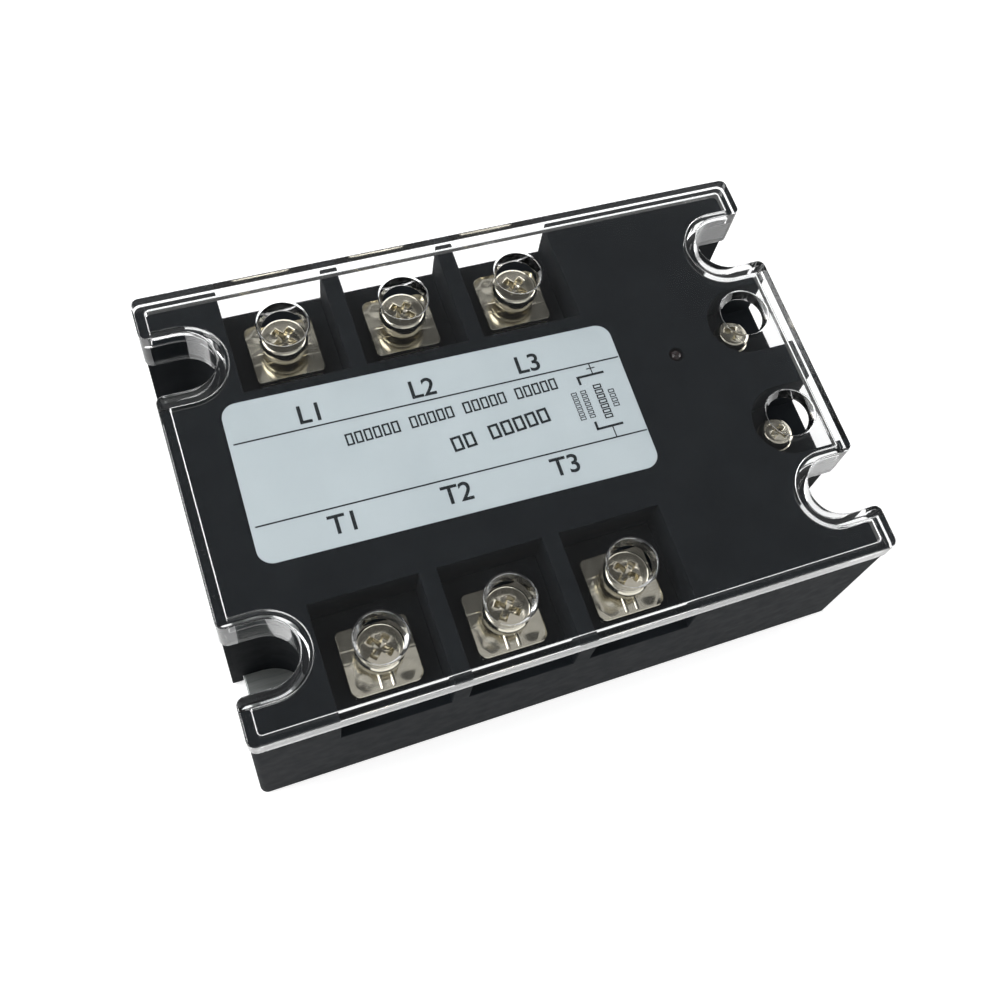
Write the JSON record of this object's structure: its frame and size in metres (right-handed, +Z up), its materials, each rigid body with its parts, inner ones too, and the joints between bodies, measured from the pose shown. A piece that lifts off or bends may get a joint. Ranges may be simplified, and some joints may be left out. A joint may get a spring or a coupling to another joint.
{
  "type": "solid state relay",
  "caption": "Flat rectangular three-phase switching module: black housing, metal base, clear cover, clamp terminals on both long sides and control terminals at one end.",
  "frame": {"origin": "centre of the base plate's underside, which is the mounting face", "axes": "+X along the length towards the control terminals, +Y towards terminal row 1, +Z up out of the cover"},
  "size_m": [0.105, 0.0742, 0.0343],
  "materials": {
    "housing_plastic": "charcoal moulded thermoplastic, fine satin texture",
    "clear_plastic": "clear moulded polycarbonate, polished",
    "label_film": "light silver printed film, satin",
    "base_metal": "plain rolled plate, lightly brushed",
    "plated_steel": "bright nickel plating over pressed steel",
    "tinned_copper": "tin-plated copper strip",
    "copper": "bare copper",
    "brass_insert": "turned brass",
    "tinned_wire": "tinned wire and tab",
    "board_laminate": "glass-fibre laminate with green solder resist",
    "chip_epoxy": "moulded epoxy",
    "resistor_body": "lacquered body",
    "capacitor_body": "dipped epoxy body",
    "ceramic": "alumina sheet",
    "silicon": "passivated silicon",
    "potting_resin": "cured potting resin",
    "lamp_red": "red diffused lamp, unlit"
  },
  "bodies": {
    "relay_base": {"housing": "housing_plastic", "base_plate": "base_metal", "label": "label_film", "status_led": "lamp_red", "led_leads": "tinned_wire", "circuit_board": "board_laminate", "optocouplers": "chip_epoxy", "resistors": "resistor_body", "capacitors": "capacitor_body", "ceramic_insulators": "ceramic", "heat_spreaders": "copper", "thyristor_chips": "silicon", "gate_leads": "tinned_wire", "potting_compound": "potting_resin", "power_nuts": "plated_steel", "busbar_a1": "tinned_copper", "busbar_b1": "tinned_copper", "busbar_c1": "tinned_copper", "busbar_a2": "tinned_copper", "busbar_b2": "tinned_copper", "busbar_c2": "tinned_copper", "control_insert_plus": "brass_insert", "control_insert_minus": "brass_insert", "control_contact_plus": "tinned_wire", "control_contact_minus": "tinned_wire"},
    "cover": {"clear_cover": "clear_plastic"},
    "a1_clamp": {"clamp_a1": "plated_steel"},
    "a1_washer": {"spring_washer_a1": "plated_steel"},
    "a1_screw": {"screw_a1": "plated_steel"},
    "b1_clamp": {"clamp_b1": "plated_steel"},
    "b1_washer": {"spring_washer_b1": "plated_steel"},
    "b1_screw": {"screw_b1": "plated_steel"},
    "c1_clamp": {"clamp_c1": "plated_steel"},
    "c1_washer": {"spring_washer_c1": "plated_steel"},
    "c1_screw": {"screw_c1": "plated_steel"},
    "a2_clamp": {"clamp_a2": "plated_steel"},
    "a2_washer": {"spring_washer_a2": "plated_steel"},
    "a2_screw": {"screw_a2": "plated_steel"},
    "b2_clamp": {"clamp_b2": "plated_steel"},
    "b2_washer": {"spring_washer_b2": "plated_steel"},
    "b2_screw": {"screw_b2": "plated_steel"},
    "c2_clamp": {"clamp_c2": "plated_steel"},
    "c2_washer": {"spring_washer_c2": "plated_steel"},
    "c2_screw": {"screw_c2": "plated_steel"},
    "control_plus_washer": {"control_washer_plus": "plated_steel"},
    "control_plus_screw": {"control_screw_plus": "plated_steel"},
    "control_minus_washer": {"control_washer_minus": "plated_steel"},
    "control_minus_screw": {"control_screw_minus": "plated_steel"}
  },
  "joints": [
    {"name": "cover_lift", "type": "slide", "parent": "relay_base", "child": "cover", "axis": [0, 0, 1], "range_m": [0, 0.04]},
    {"name": "a1_clamp_lift", "type": "slide", "parent": "relay_base", "child": "a1_clamp", "axis": [0, 0, 1], "range_m": [0, 0.001]},
    {"name": "a1_screw_rise", "type": "slide", "parent": "relay_base", "child": "a1_washer", "axis": [0, 0, 1], "range_m": [-0.00105, 0.0007]},
    {"name": "a1_screw_turn", "type": "hinge", "parent": "a1_washer", "child": "a1_screw", "pos_m": [-0.0308, 0.0271, 0.025], "axis": [0, 0, 1], "range_deg": [-540, 360]},
    {"name": "b1_clamp_lift", "type": "slide", "parent": "relay_base", "child": "b1_clamp", "axis": [0, 0, 1], "range_m": [0, 0.001]},
    {"name": "b1_screw_rise", "type": "slide", "parent": "relay_base", "child": "b1_washer", "axis": [0, 0, 1], "range_m": [-0.00105, 0.0007]},
    {"name": "b1_screw_turn", "type": "hinge", "parent": "b1_washer", "child": "b1_screw", "pos_m": [-0.01085, 0.0271, 0.025], "axis": [0, 0, 1], "range_deg": [-540, 360]},
    {"name": "c1_clamp_lift", "type": "slide", "parent": "relay_base", "child": "c1_clamp", "axis": [0, 0, 1], "range_m": [0, 0.001]},
    {"name": "c1_screw_rise", "type": "slide", "parent": "relay_base", "child": "c1_washer", "axis": [0, 0, 1], "range_m": [-0.00105, 0.0007]},
    {"name": "c1_screw_turn", "type": "hinge", "parent": "c1_washer", "child": "c1_screw", "pos_m": [0.0091, 0.0271, 0.025], "axis": [0, 0, 1], "range_deg": [-540, 360]},
    {"name": "a2_clamp_lift", "type": "slide", "parent": "relay_base", "child": "a2_clamp", "axis": [0, 0, 1], "range_m": [0, 0.001]},
    {"name": "a2_screw_rise", "type": "slide", "parent": "relay_base", "child": "a2_washer", "axis": [0, 0, 1], "range_m": [-0.00105, 0.0007]},
    {"name": "a2_screw_turn", "type": "hinge", "parent": "a2_washer", "child": "a2_screw", "pos_m": [-0.0308, -0.0271, 0.025], "axis": [0, 0, 1], "range_deg": [-540, 360]},
    {"name": "b2_clamp_lift", "type": "slide", "parent": "relay_base", "child": "b2_clamp", "axis": [0, 0, 1], "range_m": [0, 0.001]},
    {"name": "b2_screw_rise", "type": "slide", "parent": "relay_base", "child": "b2_washer", "axis": [0, 0, 1], "range_m": [-0.00105, 0.0007]},
    {"name": "b2_screw_turn", "type": "hinge", "parent": "b2_washer", "child": "b2_screw", "pos_m": [-0.01085, -0.0271, 0.025], "axis": [0, 0, 1], "range_deg": [-540, 360]},
    {"name": "c2_clamp_lift", "type": "slide", "parent": "relay_base", "child": "c2_clamp", "axis": [0, 0, 1], "range_m": [0, 0.001]},
    {"name": "c2_screw_rise", "type": "slide", "parent": "relay_base", "child": "c2_washer", "axis": [0, 0, 1], "range_m": [-0.00105, 0.0007]},
    {"name": "c2_screw_turn", "type": "hinge", "parent": "c2_washer", "child": "c2_screw", "pos_m": [0.0091, -0.0271, 0.025], "axis": [0, 0, 1], "range_deg": [-540, 360]},
    {"name": "control_plus_screw_rise", "type": "slide", "parent": "relay_base", "child": "control_plus_washer", "axis": [0, 0, 1], "range_m": [-0.00075, 0.0005]},
    {"name": "control_plus_screw_turn", "type": "hinge", "parent": "control_plus_washer", "child": "control_plus_screw", "pos_m": [0.0448, 0.01, 0.025], "axis": [0, 0, 1], "range_deg": [-540, 360]},
    {"name": "control_minus_screw_rise", "type": "slide", "parent": "relay_base", "child": "control_minus_washer", "axis": [0, 0, 1], "range_m": [-0.00075, 0.0005]},
    {"name": "control_minus_screw_turn", "type": "hinge", "parent": "control_minus_washer", "child": "control_minus_screw", "pos_m": [0.0448, -0.01, 0.025], "axis": [0, 0, 1], "range_deg": [-540, 360]}
  ],
  "couplings": [
    {"joint": "a1_screw_turn", "follows": "a1_screw_rise", "rad_per_m": 8976},
    {"joint": "b1_screw_turn", "follows": "b1_screw_rise", "rad_per_m": 8976},
    {"joint": "c1_screw_turn", "follows": "c1_screw_rise", "rad_per_m": 8976},
    {"joint": "a2_screw_turn", "follows": "a2_screw_rise", "rad_per_m": 8976},
    {"joint": "b2_screw_turn", "follows": "b2_screw_rise", "rad_per_m": 8976},
    {"joint": "c2_screw_turn", "follows": "c2_screw_rise", "rad_per_m": 8976},
    {"joint": "control_plus_screw_turn", "follows": "control_plus_screw_rise", "rad_per_m": 12566},
    {"joint": "control_minus_screw_turn", "follows": "control_minus_screw_rise", "rad_per_m": 12566}
  ]
}
